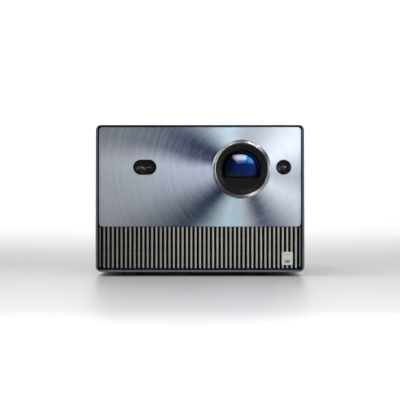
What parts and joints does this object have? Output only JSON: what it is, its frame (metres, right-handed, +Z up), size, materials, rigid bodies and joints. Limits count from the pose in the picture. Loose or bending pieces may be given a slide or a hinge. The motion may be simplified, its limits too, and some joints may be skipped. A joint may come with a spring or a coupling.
{
  "type": "home projector",
  "caption": "Compact box-shaped home projector with an offset round lens in a spun-metal face, a barred speaker grille, side vents and a rear port bay.",
  "frame": {"origin": "centre of the footprint, on the plane the feet stand on", "axes": "+X to the right seen from the front, front faces -Y, +Z up"},
  "size_m": [0.248, 0.234, 0.18],
  "materials": {
    "slate_shell": "satin slate blue-grey coat",
    "spun_face": "spun, with circular brushing round the lens",
    "grille_metal": "satin warm grey coat",
    "trim_metal": "polished",
    "black_satin": "satin",
    "black_gloss": "gloss",
    "black_cloth": "acoustic cloth",
    "badge": "satin, blank",
    "lens_glass": "coated, polished",
    "sensor_glass": "polished",
    "cover_plastic": "fine texture",
    "dark_plastic": "fine texture",
    "anodised_dark": "dark anodised",
    "cast_alloy": "cast, unpainted",
    "fin_aluminium": "mill",
    "copper": "bare copper tube",
    "brass": "machined",
    "steel": "ground",
    "black_steel": "black oxide",
    "zinc_steel": "zinc plated",
    "board_green": "lacquered circuit board",
    "board_tan": "bare circuit board",
    "socket_shell": "nickel plated",
    "nylon": "natural nylon",
    "ribbon_film": "flexible film",
    "button_metal": "satin",
    "rubber_black": "matte",
    "paper_cone": "coated paper pulp"
  },
  "bodies": {
    "housing": {"housing_sleeve": "slate_shell", "front_panel": "spun_face", "front_carrier": "dark_plastic", "speaker_grille": "grille_metal", "grille_cloth": "black_cloth", "grille_badge": "badge", "lens_trim_ring": "trim_metal", "lens_bezel": "black_satin", "lens_mask": "black_gloss", "lens_seal_ring": "rubber_black", "rear_lens_element": "lens_glass", "lens_barrel": "anodised_dark", "focus_motor": "zinc_steel", "engine_housing": "cast_alloy", "laser_modules": "brass", "diffuser_motor": "zinc_steel", "prism_block": "lens_glass", "shifter_frame": "dark_plastic", "imaging_chip": "black_gloss", "imaging_board": "board_green", "chip_heat_sink": "fin_aluminium", "chip_ribbon_cable": "ribbon_film", "laser_heat_sink": "fin_aluminium", "heat_pipes": "copper", "intake_fan_frame": "dark_plastic", "exhaust_fan_frame": "dark_plastic", "main_board": "board_green", "power_board": "board_tan", "hdmi_sockets": "socket_shell", "usb_sockets": "socket_shell", "audio_sockets": "dark_plastic", "dc_inlet": "dark_plastic", "speaker_enclosures": "dark_plastic", "speaker_frames": "dark_plastic", "speaker_surrounds": "rubber_black", "chassis_frame": "zinc_steel", "rear_cover": "cover_plastic", "side_vent_grilles": "slate_shell", "m3_screws": "black_steel", "power_switch_board": "board_green", "sensor_bezels": "black_gloss", "sensor_lenses": "sensor_glass", "rubber_feet": "rubber_black", "tilt_foot_pin": "steel", "tripod_insert": "brass"},
    "lens_carriage": {"focus_carriage": "anodised_dark", "front_lens_element": "lens_glass", "middle_lens_element": "lens_glass"},
    "focus_ring": {"focus_ring": "dark_plastic"},
    "focus_pinion": {"focus_pinion": "nylon"},
    "diffuser": {"diffuser_wheel": "lens_glass"},
    "gimbal": {"shifter_gimbal": "zinc_steel"},
    "shifter_plate": {"shifter_glass": "lens_glass"},
    "intake_rotor": {"intake_fan_rotor": "dark_plastic"},
    "exhaust_rotor": {"exhaust_fan_rotor": "dark_plastic"},
    "left_cone": {"left_speaker_cone": "paper_cone"},
    "right_cone": {"right_speaker_cone": "paper_cone"},
    "power_button": {"power_button": "button_metal"},
    "tilt_foot": {"tilt_foot": "dark_plastic", "tilt_foot_pad": "rubber_black"}
  },
  "joints": [
    {"name": "tilt_foot_fold", "type": "hinge", "parent": "housing", "child": "tilt_foot", "pos_m": [0, -0.067, 0.0082], "axis": [1, 0, 0], "range_deg": [0, 80]},
    {"name": "focus_ring_turn", "type": "hinge", "parent": "housing", "child": "focus_ring", "pos_m": [0.0496, 0, 0.1273], "axis": [0, 1, 0], "range_deg": [-32.6, 32.6]},
    {"name": "focus_travel", "type": "slide", "parent": "housing", "child": "lens_carriage", "axis": [0, 1, 0], "range_m": [-0.0016, 0.0016]},
    {"name": "focus_pinion_spin", "type": "hinge", "parent": "housing", "child": "focus_pinion", "pos_m": [0.02121, 0, 0.09891], "axis": [0, 1, 0], "range_deg": [-131, 131]},
    {"name": "diffuser_wheel_spin", "type": "hinge", "parent": "housing", "child": "diffuser", "pos_m": [0, 0.03, 0.1053], "axis": [1, 0, 0], "continuous": true},
    {"name": "shifter_tilt_up_down", "type": "hinge", "parent": "housing", "child": "gimbal", "pos_m": [0.0496, -0.018, 0.1273], "axis": [1, 0, 0], "range_deg": [-0.5, 0.5], "stiffness_Nm_per_rad": 0.5},
    {"name": "shifter_tilt_left_right", "type": "hinge", "parent": "gimbal", "child": "shifter_plate", "pos_m": [0.0496, -0.018, 0.1273], "axis": [0, 0, 1], "range_deg": [-0.5, 0.5], "stiffness_Nm_per_rad": 0.5},
    {"name": "intake_fan_spin", "type": "hinge", "parent": "housing", "child": "intake_rotor", "pos_m": [0, 0.015, 0.125], "axis": [1, 0, 0], "continuous": true},
    {"name": "exhaust_fan_spin", "type": "hinge", "parent": "housing", "child": "exhaust_rotor", "pos_m": [0, 0.015, 0.125], "axis": [1, 0, 0], "continuous": true},
    {"name": "left_speaker_cone_travel", "type": "slide", "parent": "housing", "child": "left_cone", "axis": [0, 1, 0], "range_m": [-0.0015, 0.0015], "stiffness_N_per_m": 400},
    {"name": "right_speaker_cone_travel", "type": "slide", "parent": "housing", "child": "right_cone", "axis": [0, 1, 0], "range_m": [-0.0015, 0.0015], "stiffness_N_per_m": 400},
    {"name": "power_button_press", "type": "slide", "parent": "housing", "child": "power_button", "axis": [0, -1, 0], "range_m": [0, 0.0012], "stiffness_N_per_m": 300}
  ],
  "couplings": [
    {"joint": "focus_ring_turn", "follows": "focus_travel", "rad_per_m": 349.07},
    {"joint": "focus_pinion_spin", "follows": "focus_travel", "rad_per_m": -1396.3}
  ]
}
